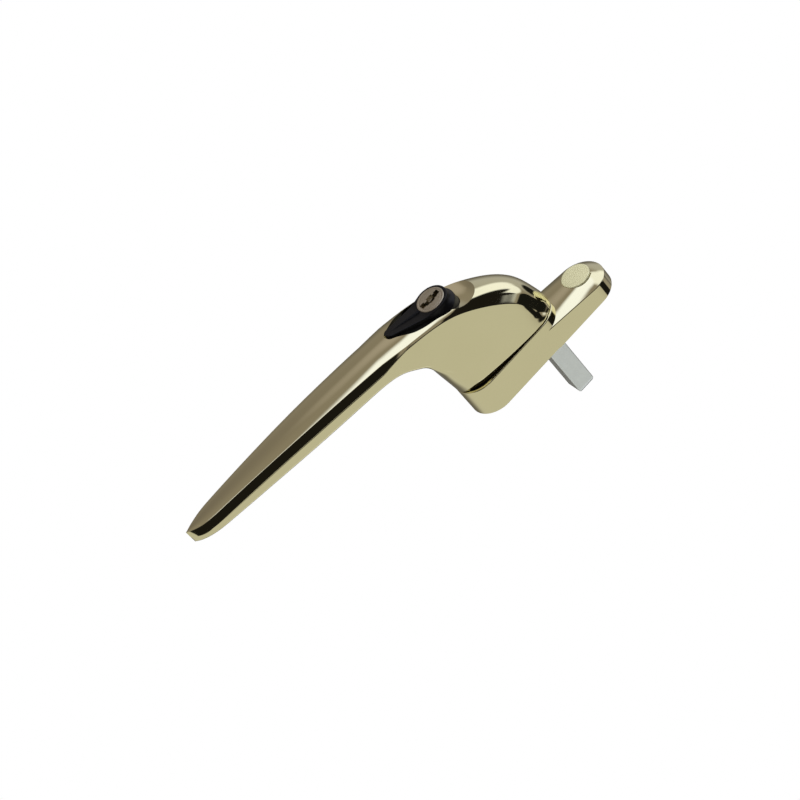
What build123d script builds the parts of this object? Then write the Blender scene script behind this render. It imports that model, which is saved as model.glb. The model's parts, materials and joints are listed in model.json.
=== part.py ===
"""Inline espagnolette window handle with a push-button key lock.

Frame, in millimetres: the wall side of the base lies in the plane Y = 0, the room is towards -Y,
+Z is up and the lever hangs down along -Z when the window is shut. The origin is the spindle's
axis where it leaves the back of the base. "Height" below means the distance from the wall plane
towards the room, and "drop" means the distance below the spindle's axis.
"""
import os
from math import sqrt

from build123d import *

# ---------------------------------------------------------------- driving dimensions
# Base
BASE_HALF = 9.1            # half the base's width, and the radius of its ends
SCREW_PITCH = 43.0         # between the two fixing holes
SCREW_HOLE_R = 2.65        # clearance for an M5 fixing screw
SCREW_FLOOR = 3.8          # height of the seat under a fixing screw's head
HEAD_R = 5.0               # room for a screw head, and pocket for the locking bolt
LOWER_END_DROP = 25.5      # centre of the lower round end
SEAM = 12.5                # height of the raised part, where the lever's root begins
RAMP_START = 10.4          # height of the low part beside the spindle
RAMP_END = 8.0             # height of the low part at its upper end
BASE_BEVEL = 2.4           # bevel round the low part
SEAM_BEVEL = 0.9           # bevel round the raised part

# Lever
LEVER_GAP = 0.25           # running gap between the base and the lever's root
LEVER_REACH = 131.5        # drop of the lever's tip
CROWN = ((-5.5, 27.8), (4.4, 38.7), (15.0, 44.8), (30.0, 49.3), (46.0, 51.8), (88.0, 55.2))  # drop, height
NECK_END = 42.0            # drop where the grip begins to taper
TAPER_END = 127.0          # drop where the taper meets the round tip
UNDER_CORNER = (39.0, 42.8)    # drop and height where the neck's back would meet the grip's underside
UNDER_TIP_HEIGHT = 51.1    # height of the grip's underside at its tip
NECK_BACK = 34.6           # drop of the root's lower end
NECK_ARC_R = 9.0           # inside corner between the neck and the grip
TIP_HEIGHT = 56.4          # height of the grip's front at its tip
TIP_HALF = 3.6             # half the grip's width where the tip's arc begins
NECK_SQUARE_HEIGHT = 36.0  # height where the neck's round back has become square
NECK_CORNER_R = 1.0        # corner left there
CROWN_BEVEL_IN = 4.6       # shoulder of the neck, across
CROWN_BEVEL_DOWN = 4.9     # shoulder of the neck, towards the wall
BLADE_BEVEL_IN = 1.2       # bevel along the grip, across
BLADE_BEVEL_DOWN = 3.6     # bevel along the grip, towards the wall
RIDGE_RISE = 0.8           # height of the ridge over the shoulders
SHOULDER_EASE = (10.0, 46.0)   # drops between which the neck's shoulder narrows to the grip's bevel

# Spindle and its bearing
SPINDLE_SIDE = 7.0
SPINDLE_PROUD = 27.0       # length that stands out behind the base
SPINDLE_END_R = 1.8        # rounding of its far end
SPINDLE_TOP = 24.0         # height of its hidden end, inside the neck
SPINDLE_FIT = 0.03
BOSS_R = 6.2
BOSS_END = 1.3             # height of the boss's rear end
CLIP_R = 5.6               # bottom of the circlip's groove
CLIP_LOW, CLIP_HIGH = 2.4, 3.3
BUSH_R = 7.1
RUNNING = 0.05             # radial clearance of turning and sliding fits
REAR_POCKET_R = 8.0
REAR_POCKET_DEPTH = 4.9
WASHER_R = 7.7             # outside of both washers
WASHER_BORE_R = BOSS_R + 0.2
THRUST_LOW, THRUST_HIGH = 3.35, 3.9
WAVE_LOW, WAVE_HIGH = 3.95, 4.85
WAVE_R, WAVE_CUT = 2.4, 2.1    # radius of the waves, and how far their centres lie beyond the faces
CLIP_OUTER_R = 7.3
CLIP_OPENING = 4.2
DISC_THICK = 0.8
PIN_R = 1.25               # spring pin through boss and spindle
PIN_HEIGHT = 8.2

# Lock
LOCK_DROP = SCREW_PITCH / 2
BUTTON_TRAVEL = 3.6
BUTTON_R = 6.9
TAIL_R = 2.5
TAIL_DROP = 38.6
BUTTON_TOP = 48.4          # height of the button's flat round the key plug
TAIL_TOP = 52.0
BUTTON_FOOT = 45.2         # underside of the button, on top of the lock body
SKIRT_FOOT = 41.6
BUTTON_CLEAR = 0.2
BODY_R = 6.15
BODY_FOOT = 28.0
BORE_R = 6.35
PLUG_HEAD_R = 5.2
PLUG_R = 4.0
PLUG_FOOT = 33.4
BOLT_R = 4.6
SHANK_R = 2.9
SHELF_LOW, SHELF_HIGH = 17.5, 18.9
TAIL_FOOT = 46.4           # underside of the button's tail
SKIRT_R = 7.4
SCOOP_R = 15.0             # dish above the button: radius, height of its bottom, drop of its middle
SCOOP_LOW = 40.9
SCOOP_DROP = 11.0
PLUG_TOP = 48.6
SLUG_SIDE = 3.0
SLUG_LONG = 1.6
SLUG_HEIGHT = 36.5
SLUG_ROOM = (3.6, 3.0)     # groove in the lever's bore, across and deep
SPRING_R = 4.5
SPRING_WIRE = 0.9
SPRING_TURNS = 5
WAFER_COUNT = 5
WAFER_PITCH = 2.0
WAFER_THICK = 0.7
WAFER_WIDE = 4.2
LUG_REACH = 1.2            # how far a tumbler's lug stands out over its spring
WAFER_WINDOW = (2.2, 4.6)
WAFER_SLACK = 0.06
WAFER_TOP = 5.2            # depth of the first tumbler below the plug's face
WAFER_SPRING = (0.24, 0.16, 4)     # radius, wire, turns
CAP_PROUD = 0.35           # how far the cover cap stands over the base
CAP_WALL = 1.2
BACK_POCKETS = ((12.9, 6.0), (-12.9, 9.5))     # lightening pockets: distance up the wall, depth
BACK_POCKET_SIZE = (12.4, 6.2, 1.5)
FLANGE_THICK = 0.9         # the bush's flange
KEYWAY_WIDE = 1.5
KEYWAY = ((0.35, 2.6, 2.4), (-0.35, 0.9, 2.4), (0.35, -0.9, 2.4), (-0.2, -2.6, 2.2))   # x, z, height

os.makedirs("parts", exist_ok=True)

LOW_ALIGN = (Align.CENTER, Align.CENTER, Align.MIN)
ROOT = SEAM + LEVER_GAP
UPPER_Z, LOWER_Z = SCREW_PITCH / 2, -SCREW_PITCH / 2
LOCK_Z = -LOCK_DROP


# ---------------------------------------------------------------- helpers
def wall_plane(height=0.0):
    """Plane parallel to the wall, drawn in (X, Z) and growing towards the room."""
    return Plane(origin=(0, -height, 0), x_dir=(1, 0, 0), z_dir=(0, -1, 0))


def rod(radius, low, high, z=0.0, x=0.0):
    """Round solid between two heights."""
    return Pos(x, -low, z) * Rot(90, 0, 0) * Cylinder(radius, high - low, align=LOW_ALIGN)


def ring(outer, inner, low, high, z=0.0):
    return rod(outer, low, high, z) - rod(inner, low - 1, high + 1, z)


def block(width, drop_side, low, high, z=0.0, x=0.0):
    """Square-cornered solid between two heights, width across X and drop_side along Z."""
    return Pos(x, -low, z) * Rot(90, 0, 0) * Box(width, drop_side, high - low, align=LOW_ALIGN)


def prism(sketch, low, high):
    """A sketch in (X, Z) carried from one height to another."""
    return extrude(wall_plane(low) * sketch, high - low)


def profile(line, half_width):
    """A closed line in (drop, height) carried equally to both sides of the middle."""
    start = Plane(origin=(half_width, 0, 0), x_dir=(0, 0, -1), z_dir=(-1, 0, 0))
    return extrude(start * make_face(line), 2 * half_width)


def racetrack(radius, z_low, z_high):
    """Straight-sided outline with round ends centred at two heights up the wall."""
    middle = Pos(0, (z_low + z_high) / 2) * Rectangle(2 * radius, z_high - z_low)
    return middle + Pos(0, z_low) * Circle(radius) + Pos(0, z_high) * Circle(radius)


def edges_above(solid, height):
    return [edge for edge in solid.edges() if -edge.center().Y > height]


def upright_coil(radius, wire, length, turns):
    """Open-coiled compression spring along Z, from Z = 0 to its length."""
    rise = length - wire
    path = Helix(rise / turns, rise, radius)
    start = Plane(origin=path @ 0, z_dir=path % 0)
    return Pos(0, 0, wire / 2) * sweep(start * Circle(wire / 2), path, is_frenet=True)


def coil(radius, wire, low, high, turns, z=0.0):
    """Compression spring between two heights."""
    return Pos(0, -low, z) * Rot(90, 0, 0) * upright_coil(radius, wire, high - low, turns)


def save(name, solid):
    export_step(solid, f"parts/{name}.step")


# ---------------------------------------------------------------- base
def ramp_height(z):
    """Height of the low part's ridge at a given distance up the wall."""
    return RAMP_START + (RAMP_END - RAMP_START) * z / (UPPER_Z + BASE_HALF)


def low_part():
    """Sloping upper half of the base, with a bevel all round its front."""
    end = UPPER_Z + BASE_HALF
    slope = Polyline((0, 0), (-end - 1, 0), (-end - 1, ramp_height(end + 1)), (0, RAMP_START), close=True)
    body = prism(racetrack(BASE_HALF, 0, UPPER_Z), 0, SEAM) & profile(slope, BASE_HALF + 1)
    front = [e for e in body.edges() if -e.center().Y > RAMP_END - 1 and e.center().Z > 0.5]
    return chamfer(front, BASE_BEVEL, BASE_BEVEL * 0.9)


def raised_part():
    """Lower half of the base and the round turret about the spindle."""
    body = prism(racetrack(BASE_HALF, -LOWER_END_DROP, 0), 0, SEAM)
    return chamfer(edges_above(body, SEAM - 0.1), SEAM_BEVEL)


def make_base():
    base = low_part() + raised_part()
    for z in (UPPER_Z, LOWER_Z):
        base -= rod(SCREW_HOLE_R, -1, SEAM + 1, z)
        base -= rod(HEAD_R, SCREW_FLOOR, SEAM + 1, z)
    base -= rod(BUSH_R + 0.02, 0, SEAM + 1)
    base -= rod(BUSH_R + 1.02, SEAM - FLANGE_THICK, SEAM + 1)
    base -= rod(REAR_POCKET_R, -1, REAR_POCKET_DEPTH)
    for z, depth in BACK_POCKETS:
        base -= prism(Pos(0, z) * RectangleRounded(*BACK_POCKET_SIZE), -1, depth)
    return base


def make_screw_cap():
    """Push-in cover over the upper fixing screw, a hair proud of the base."""
    cap = rod(HEAD_R - 0.04, 6.6, SEAM, UPPER_Z)
    far = UPPER_Z + BASE_HALF
    top = Polyline((0, 0), (-far, 0), (-far, RAMP_END + CAP_PROUD), (0, RAMP_START + CAP_PROUD), close=True)
    cap = cap & profile(top, 20)
    cap = fillet([e for e in cap.edges() if -e.center().Y > 7.5 and e.length > 5], 0.3)
    return cap - rod(HEAD_R - CAP_WALL, 0, 8.0, UPPER_Z)


def make_bush():
    """Flanged nylon bearing pressed into the base."""
    sleeve = ring(BUSH_R, BOSS_R + RUNNING, REAR_POCKET_DEPTH, SEAM - FLANGE_THICK)
    flange = ring(BUSH_R + 1.0, BOSS_R + RUNNING, SEAM - FLANGE_THICK, ROOT - 0.05)
    return sleeve + flange


def make_rear_disc():
    """Pressed disc that closes the pocket behind the circlip."""
    return ring(REAR_POCKET_R - 0.02, SPINDLE_SIDE * sqrt(2) / 2 + 0.3, 0, DISC_THICK)


def make_wave_washer():
    """Spring washer, three waves, that gives the lever its friction."""
    washer = ring(WASHER_R, WASHER_BORE_R, WAVE_LOW, WAVE_HIGH)
    for turn in (0, 120, 240):
        for height, beyond, side in ((WAVE_LOW, WAVE_CUT, turn), (WAVE_HIGH, -WAVE_CUT, turn + 60)):
            wave = Pos(WASHER_R, 0, 0) * Rot(0, 0, 90) * Cylinder(WAVE_R, WASHER_R)
            washer -= Pos(0, beyond - height, 0) * Rot(0, side, 0) * wave
    return washer


def make_thrust_washer():
    return ring(WASHER_R, WASHER_BORE_R, THRUST_LOW, THRUST_HIGH)


def make_circlip():
    """Ring in the boss's groove, open at one side."""
    clip = ring(CLIP_OUTER_R, CLIP_R + RUNNING, CLIP_LOW, CLIP_HIGH)
    return clip - block(CLIP_OPENING, 6, CLIP_LOW - 1, CLIP_HIGH + 1, -CLIP_OUTER_R)


# ---------------------------------------------------------------- lever
def lever_outline():
    """The lever seen from the room: round root, nearly parallel neck, long taper, blunt tip."""
    root = CenterArc((0, 0), BASE_HALF, 0, 180)
    right = Spline((BASE_HALF, -NECK_END), (8.6, -60), (6.5, -97), (TIP_HALF, -TAPER_END),
                   tangents=((0, -1), (-0.14, -1)))
    tip = ThreePointArc((TIP_HALF, -TAPER_END), (0, -LEVER_REACH), (-TIP_HALF, -TAPER_END))
    left = mirror(right, about=Plane.YZ)
    return make_face([root, Line((BASE_HALF, 0), (BASE_HALF, -NECK_END)), right, tip,
                      left, Line((-BASE_HALF, -NECK_END), (-BASE_HALF, 0))])


def crown_line():
    """Ridge of the lever's front, in (drop, height), from the root to the tip."""
    return Spline((-BASE_HALF, ROOT), *CROWN, (LEVER_REACH + 1, TIP_HEIGHT), tangents=((0, 1), (1, 0.02)))


def lever_side():
    """The lever seen from the side, in (drop, height)."""
    crown = crown_line()
    under = FilletPolyline((LEVER_REACH + 1, UNDER_TIP_HEIGHT), UNDER_CORNER, (NECK_BACK, ROOT),
                           radius=NECK_ARC_R)
    return [crown, Line(crown @ 1, under @ 0), under, Line(under @ 1, crown @ 0)]


def crown_height(drop):
    """Height of the ridge at a given drop, found by halving."""
    line, low, high = crown_line(), 0.0, 1.0
    for _ in range(30):
        middle = (low + high) / 2
        low, high = (middle, high) if (line @ middle).X < drop else (low, middle)
    return (line @ low).Y


def shoulder_section(drop):
    """Cross-section of the lever's front: low ridge, then a bevel down to each side."""
    half = BASE_HALF - 5.4 * max(0, (drop - NECK_END) / (LEVER_REACH - NECK_END)) ** 1.2
    ridge = crown_height(min(max(drop, -8.9), LEVER_REACH))
    along = min(1, max(0, (drop - SHOULDER_EASE[0]) / (SHOULDER_EASE[1] - SHOULDER_EASE[0])))
    ease = along * along * (3 - 2 * along)
    inset = CROWN_BEVEL_IN + (BLADE_BEVEL_IN - CROWN_BEVEL_IN) * ease
    fall = CROWN_BEVEL_DOWN + (BLADE_BEVEL_DOWN - CROWN_BEVEL_DOWN) * ease
    peak = ridge + (6 if drop < 0 else 0.05)
    points = [(-half, 0), (half, 0), (half, -(ridge - fall)), (half - inset, -(ridge - RIDGE_RISE)),
              (0, -peak), (inset - half, -(ridge - RIDGE_RISE)), (-half, -(ridge - fall))]
    plane = Plane(origin=(0, 0, -drop), x_dir=(1, 0, 0), z_dir=(0, 0, 1))
    return plane * Polygon(*points, align=None)


def neck_envelope():
    """Room for the neck: a round back at the root that grows square higher up."""
    lean = (UNDER_CORNER[0] - NECK_BACK) / (UNDER_CORNER[1] - ROOT)
    sections = []
    for height, corner in ((ROOT, BASE_HALF - 0.05), (NECK_SQUARE_HEIGHT, NECK_CORNER_R)):
        back = NECK_BACK + lean * (height - ROOT)
        outline = RectangleRounded(2 * BASE_HALF, back + BASE_HALF, corner)
        sections.append(wall_plane(height) * (Pos(0, (BASE_HALF - back) / 2) * outline))
    above = prism(Pos(0, -60) * Rectangle(40, 160), NECK_SQUARE_HEIGHT, 70)
    return loft(sections) + above


def lever_body():
    """The solid shape of the lever before anything is bored in it."""
    stations = (-9.2, -7, -4, 0, 6, 14, 24, 36, 48, 62, 80, 98, 114, 126, LEVER_REACH + 1.5)
    body = profile(lever_side(), BASE_HALF + 1) & loft([shoulder_section(drop) for drop in stations])
    return body & prism(lever_outline(), ROOT - 1, 70) & neck_envelope()


def thumb_scoop():
    """Shallow dish above the button, across the crown."""
    return Pos(0, -(SCOOP_R + SCOOP_LOW), -SCOOP_DROP) * Sphere(SCOOP_R)


def button_outline(grow=0.0):
    """Teardrop: round about the key plug, tapering down the grip."""
    head = Pos(0, -LOCK_DROP) * Circle(BUTTON_R + grow)
    tail = Pos(0, -TAIL_DROP) * Circle(TAIL_R + grow)
    return make_hull([*head.edges(), *tail.edges()])


def make_lever():
    body = lever_body() - thumb_scoop()
    body += rod(BOSS_R, BOSS_END, ROOT + 1)
    body -= ring(BOSS_R + 1, CLIP_R, CLIP_LOW - 0.05, CLIP_HIGH + 0.05)
    socket = SPINDLE_SIDE + 2 * SPINDLE_FIT
    body -= block(socket, socket, 0, SPINDLE_TOP + 0.2)
    body -= Pos(0, -PIN_HEIGHT, 0) * Rot(0, 90, 0) * Cylinder(PIN_R, 3 * BOSS_R)
    body -= prism(button_outline(BUTTON_CLEAR), TAIL_FOOT - BUTTON_TRAVEL - 0.4, 70)
    body -= rod(BORE_R, SHELF_HIGH, 70, LOCK_Z)
    body -= rod(SKIRT_R + BUTTON_CLEAR, SKIRT_FOOT - BUTTON_TRAVEL - 0.4, 70, LOCK_Z)
    body -= rod(SHANK_R + RUNNING, ROOT - 1, SHELF_HIGH + 1, LOCK_Z)
    body -= rod(BOLT_R + RUNNING, ROOT - 1, SHELF_LOW, LOCK_Z)
    body -= block(*SLUG_ROOM, SLUG_HEIGHT - BUTTON_TRAVEL - 3, SLUG_HEIGHT + 3, LOCK_Z - BORE_R)
    return body


def make_spindle():
    """Square steel bar with a rounded far end."""
    bar = block(SPINDLE_SIDE, SPINDLE_SIDE, -SPINDLE_PROUD, SPINDLE_TOP)
    bar = fillet(bar.edges().group_by(Axis.Y)[-1], SPINDLE_END_R)
    return bar - Pos(0, -PIN_HEIGHT, 0) * Rot(0, 90, 0) * Cylinder(PIN_R, 3 * BOSS_R)


def make_spindle_pin():
    """Rolled spring pin with its slot."""
    length = 2 * BOSS_R - 0.4
    pin = Rot(0, 90, 0) * (Cylinder(PIN_R, length) - Cylinder(PIN_R - 0.45, length + 1))
    return Pos(0, -PIN_HEIGHT, 0) * (pin - Pos(0, 0, PIN_R) * Box(length + 1, 0.4, PIN_R))


# ---------------------------------------------------------------- lock
def make_button():
    """Black thumb button: a teardrop that climbs from the key plug to the grip, with a skirt below."""
    body = prism(button_outline(), TAIL_FOOT, 70)
    rise = TAIL_DROP + TAIL_R
    flat_end = LOCK_DROP + PLUG_HEAD_R + 0.8
    top = Polyline((0, 0), (rise + 5, 0), (rise + 5, TAIL_TOP + 0.9), (flat_end, BUTTON_TOP), (0, BUTTON_TOP),
                   close=True)
    body = body & profile(top, BASE_HALF)
    body += rod(SKIRT_R, SKIRT_FOOT, TAIL_FOOT + 0.1, LOCK_Z)
    body -= rod(BODY_R + 0.02, 0, BUTTON_FOOT, LOCK_Z)
    return body - rod(PLUG_HEAD_R + RUNNING, 0, 70, LOCK_Z)


def make_lock_body():
    """Round body that the key plug turns in and the locking bolt hangs from."""
    body = rod(BODY_R, BODY_FOOT, BUTTON_FOOT, LOCK_Z)
    body -= rod(PLUG_R + RUNNING, PLUG_FOOT - 3.0, 70, LOCK_Z)
    body -= rod(SHANK_R, 0, PLUG_FOOT - 2.8, LOCK_Z)
    body -= block(SLUG_SIDE, 4.4, SLUG_HEIGHT - SLUG_SIDE / 2, SLUG_HEIGHT + SLUG_SIDE / 2,
                  LOCK_Z - PLUG_R - 2.25)
    return body


def wafer_heights():
    return [PLUG_TOP - WAFER_TOP - WAFER_PITCH * step for step in range(WAFER_COUNT)]


def wafer_lift(step):
    """How far each tumbler stands off the plug's middle."""
    return 0.3 * (step % 3 - 1)


def make_key_plug():
    """Flanged plug with a zig-zag keyway and a slot for each wafer."""
    plug = rod(PLUG_R, PLUG_FOOT, BUTTON_FOOT + 0.1, LOCK_Z)
    head = rod(PLUG_HEAD_R, BUTTON_FOOT + 0.05, PLUG_TOP, LOCK_Z)
    plug += chamfer(head.edges().group_by(Axis.Y)[0], 0.35)
    for x, z, height in KEYWAY:
        plug -= block(KEYWAY_WIDE, height, PLUG_FOOT + 2, PLUG_TOP + 1, LOCK_Z + z, x)
    for height in wafer_heights():
        low, high = height - WAFER_SLACK, height + WAFER_THICK + WAFER_SLACK
        plug -= block(WAFER_WIDE + WAFER_SLACK, 2 * PLUG_R + 1, low, high, LOCK_Z)
        plug -= block(LUG_REACH + WAFER_SLACK, 3.4, low, high, LOCK_Z + 0.6, (WAFER_WIDE + LUG_REACH) / 2)
    plug -= ring(PLUG_R + 1, PLUG_R - 0.6, PLUG_FOOT + 0.5, PLUG_FOOT + 1.3, LOCK_Z)
    return plug


def make_wafers():
    """Flat tumblers, each with a window for the key."""
    wafers = []
    for step, height in enumerate(wafer_heights()):
        top = height + WAFER_THICK
        middle = LOCK_Z + wafer_lift(step)
        plate = block(WAFER_WIDE, 2 * PLUG_R - 1.8, height, top, middle)
        plate += block(LUG_REACH, 0.6, height, top, middle + 1.4, (WAFER_WIDE + LUG_REACH) / 2 - 0.02)
        wafers.append(plate - block(*WAFER_WINDOW, height - 1, top + 1, LOCK_Z, 0.2))
    return Compound(wafers)


def make_wafer_springs():
    """One small spring under the lug of each tumbler."""
    springs = []
    for step, height in enumerate(wafer_heights()):
        foot = LOCK_Z - 0.95
        top = LOCK_Z + wafer_lift(step) + 1.05
        radius, wire, turns = WAFER_SPRING
        spring = upright_coil(radius, wire, top - foot, turns)
        x = (WAFER_WIDE + LUG_REACH) / 2 + 0.1
        springs.append(Pos(x, -(height + WAFER_THICK / 2), foot) * spring)
    return Compound(springs)


def make_cam():
    """Driver on the plug's tail that draws the slug back."""
    disc = rod(PLUG_R - 0.3, PLUG_FOOT - 1.8, PLUG_FOOT, LOCK_Z)
    return disc - block(3.0, 1.6, 0, 60, LOCK_Z - PLUG_R + 0.6)


def make_plug_clip():
    clip = ring(PLUG_R - 0.02, PLUG_R - 0.6, PLUG_FOOT + 0.55, PLUG_FOOT + 1.25, LOCK_Z)
    return clip - block(2.6, 3, 0, 60, LOCK_Z + PLUG_R)


def make_slug():
    """Sprung slug in the lock body's wall, which catches the lever's bore when the button is in."""
    reach = SLUG_SIDE / 2 - 0.03
    z = LOCK_Z - BODY_R + SLUG_LONG / 2
    return block(2 * reach, SLUG_LONG, SLUG_HEIGHT - reach, SLUG_HEIGHT + reach, z)


def make_bolt():
    """Locking bolt: a stout foot on a shank that is pressed into the lock body."""
    foot = rod(BOLT_R, ROOT + 0.35, SHELF_LOW - 0.05, LOCK_Z)
    foot = chamfer(foot.edges().group_by(Axis.Y)[-1], 0.5)
    return foot + rod(SHANK_R, SHELF_LOW - 0.1, PLUG_FOOT - 2.8, LOCK_Z)


def make_button_spring():
    return coil(SPRING_R, SPRING_WIRE, SHELF_HIGH + 0.05, BODY_FOOT - 0.05, SPRING_TURNS, LOCK_Z)


PIECES = {
    "base_plate": make_base,
    "screw_cap": make_screw_cap,
    "bearing_bush": make_bush,
    "rear_disc": make_rear_disc,
    "wave_washer": make_wave_washer,
    "thrust_washer": make_thrust_washer,
    "circlip": make_circlip,
    "lever": make_lever,
    "spindle": make_spindle,
    "spindle_pin": make_spindle_pin,
    "lock_button": make_button,
    "lock_body": make_lock_body,
    "key_plug": make_key_plug,
    "wafers": make_wafers,
    "wafer_springs": make_wafer_springs,
    "plug_cam": make_cam,
    "plug_clip": make_plug_clip,
    "locking_slug": make_slug,
    "locking_bolt": make_bolt,
    "button_spring": make_button_spring,
}

for name, make in PIECES.items():
    save(name, make())
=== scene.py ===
import json
from math import cos, exp, hypot, pi, radians, sin, sqrt

import bmesh
import bpy
import numpy as np
from mathutils import Matrix, Vector


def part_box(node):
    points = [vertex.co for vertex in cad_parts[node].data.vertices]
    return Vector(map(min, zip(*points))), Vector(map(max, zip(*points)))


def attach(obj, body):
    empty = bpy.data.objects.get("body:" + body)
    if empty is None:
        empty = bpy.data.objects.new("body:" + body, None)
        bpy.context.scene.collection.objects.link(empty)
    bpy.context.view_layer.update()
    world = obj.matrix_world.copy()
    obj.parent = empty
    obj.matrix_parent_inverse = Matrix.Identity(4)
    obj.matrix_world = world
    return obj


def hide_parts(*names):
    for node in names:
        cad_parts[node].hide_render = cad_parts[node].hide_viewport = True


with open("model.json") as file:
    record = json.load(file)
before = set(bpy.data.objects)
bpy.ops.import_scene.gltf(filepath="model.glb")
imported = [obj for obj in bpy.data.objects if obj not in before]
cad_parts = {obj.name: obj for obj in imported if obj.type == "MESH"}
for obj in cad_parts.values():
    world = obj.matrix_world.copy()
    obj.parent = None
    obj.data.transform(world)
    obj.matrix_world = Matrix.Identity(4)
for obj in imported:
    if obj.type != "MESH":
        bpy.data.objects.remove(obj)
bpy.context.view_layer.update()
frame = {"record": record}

# The part's frame: wall plane at y = 0, the room towards -Y, +Z up, the lever hanging along -Z.
# "Height" is the distance from the wall towards the room and "drop" the distance below the
# spindle's axis. Both are in millimetres until a mesh is made.
MM = 0.001


def corners_mm(node):
    low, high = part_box(node)
    return Vector(low) / MM, Vector(high) / MM


BASE_LOW, BASE_HIGH = corners_mm("base_plate")
PLUG_LOW, PLUG_HIGH = corners_mm("key_plug")
CAP_LOW, CAP_HIGH = corners_mm("screw_cap")
SPINDLE_LOW, SPINDLE_HIGH = corners_mm("spindle")

HALF = BASE_HIGH.x                  # half the base's width, and the radius of its round ends
SEAM = -BASE_LOW.y                  # height where the lever's root begins
ROOT = SEAM + 0.25                  # height of the lever's underside, a hair clear of the base
UPPER_END = BASE_HIGH.z - HALF      # centres of the base's round ends
LOWER_END = BASE_LOW.z + HALF
CAP_Z = (CAP_LOW.z + CAP_HIGH.z) / 2
CAP_R = (CAP_HIGH.x - CAP_LOW.x) / 2
LOCK_Z = (PLUG_LOW.z + PLUG_HIGH.z) / 2
PLUG_R = (PLUG_HIGH.x - PLUG_LOW.x) / 2
PLUG_TOP = -PLUG_LOW.y
REACH = -corners_mm("lever")[0].z   # drop of the lever's tip
ABOVE = 60.0                        # a height clear of the whole lever, for cuts


# ---------------------------------------------------------------- mesh helpers
WELD = 0.0005                       # vertices closer than this are one


def clean(mesh, weld=True):
    """Turns every face outwards, and joins vertices that lie together."""
    bm = bmesh.new()
    bm.from_mesh(mesh)
    if weld:
        bmesh.ops.remove_doubles(bm, verts=bm.verts, dist=WELD)
    bmesh.ops.recalc_face_normals(bm, faces=bm.faces)
    bm.to_mesh(mesh)
    bm.free()


def new_object(name, vertices, faces):
    """A closed mesh in millimetres from vertices (x, height, drop)."""
    mesh = bpy.data.meshes.new(name)
    mesh.from_pydata([(x, -height, -drop) for x, height, drop in vertices], [], faces)
    obj = bpy.data.objects.new(name, mesh)
    bpy.context.scene.collection.objects.link(obj)
    clean(mesh, weld=False)
    return obj


def bridge(rows):
    """Vertices and faces of a closed solid through equal closed rows, first and last row filled."""
    count = len(rows[0])
    vertices = [tuple(point) for row in rows for point in row]
    faces = []
    for r in range(len(rows) - 1):
        for i in range(count):
            j = (i + 1) % count
            faces.append((r * count + i, r * count + j, (r + 1) * count + j, (r + 1) * count + i))
    faces.append(tuple(range(count)))
    faces.append(tuple((len(rows) - 1) * count + i for i in reversed(range(count))))
    return vertices, faces


def apply_modifiers(obj):
    depsgraph = bpy.context.evaluated_depsgraph_get()
    mesh = bpy.data.meshes.new_from_object(obj.evaluated_get(depsgraph))
    old, obj.data = obj.data, mesh
    obj.modifiers.clear()
    mesh.name = obj.name
    bpy.data.meshes.remove(old)


def combine(obj, other, operation="DIFFERENCE"):
    """Cuts or joins with another object, which is used up."""
    step = obj.modifiers.new("combine", "BOOLEAN")
    step.operation, step.solver, step.object = operation, "MANIFOLD", other
    apply_modifiers(obj)
    bpy.data.objects.remove(other, do_unlink=True)


SHARP = 32                          # angle in degrees above which an edge stays crisp


def finish_shading(obj):
    """Smooth shading that keeps true edges crisp and lets large faces stay flat."""
    clean(obj.data)
    obj.data.polygons.foreach_set("use_smooth", [True] * len(obj.data.polygons))
    obj.data.set_sharp_from_angle(angle=radians(SHARP))
    weigh = obj.modifiers.new("weigh", "WEIGHTED_NORMAL")
    weigh.keep_sharp = True
    apply_modifiers(obj)


SIDES = 96                          # flats round every turned shape


def turned(name, outline, z=0.0):
    """Round solid from its outline, a list of (radius, height) from the axis out and back to it."""
    rows = []
    for radius, height in outline:
        radius = max(radius, 0.01)
        rows.append([(radius * cos(a), height, -z - radius * sin(a))
                     for a in np.linspace(0, 2 * pi, SIDES + 1)[:-1]])
    return new_object(name, *bridge(rows))


def rod(radius, low, high, z=0.0):
    return turned("rod", [(radius, low), (radius, high)], z)


def prism(outline, low, high):
    """Straight-sided solid from an outline in (x, drop)."""
    rows = [[(x, height, drop) for x, drop in outline] for height in (low, high)]
    return new_object("prism", *bridge(rows))


def box(width, tall, low, high, z=0.0, x=0.0):
    """Block about a place on the wall, from one height to another."""
    w, t = width / 2, tall / 2
    return prism([(x - w, -z - t), (x + w, -z - t), (x + w, -z + t), (x - w, -z + t)], low, high)


def resample(points, count, keep_last=True):
    """Evenly spaced points along a path of straight pieces."""
    points = np.asarray(points, float)
    reach = np.concatenate([[0], np.cumsum(np.linalg.norm(np.diff(points, axis=0), axis=1))])
    where = np.linspace(0, reach[-1], count + 1)
    out = np.column_stack([np.interp(where, reach, points[:, k]) for k in range(points.shape[1])])
    return out if keep_last else out[:-1]


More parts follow.
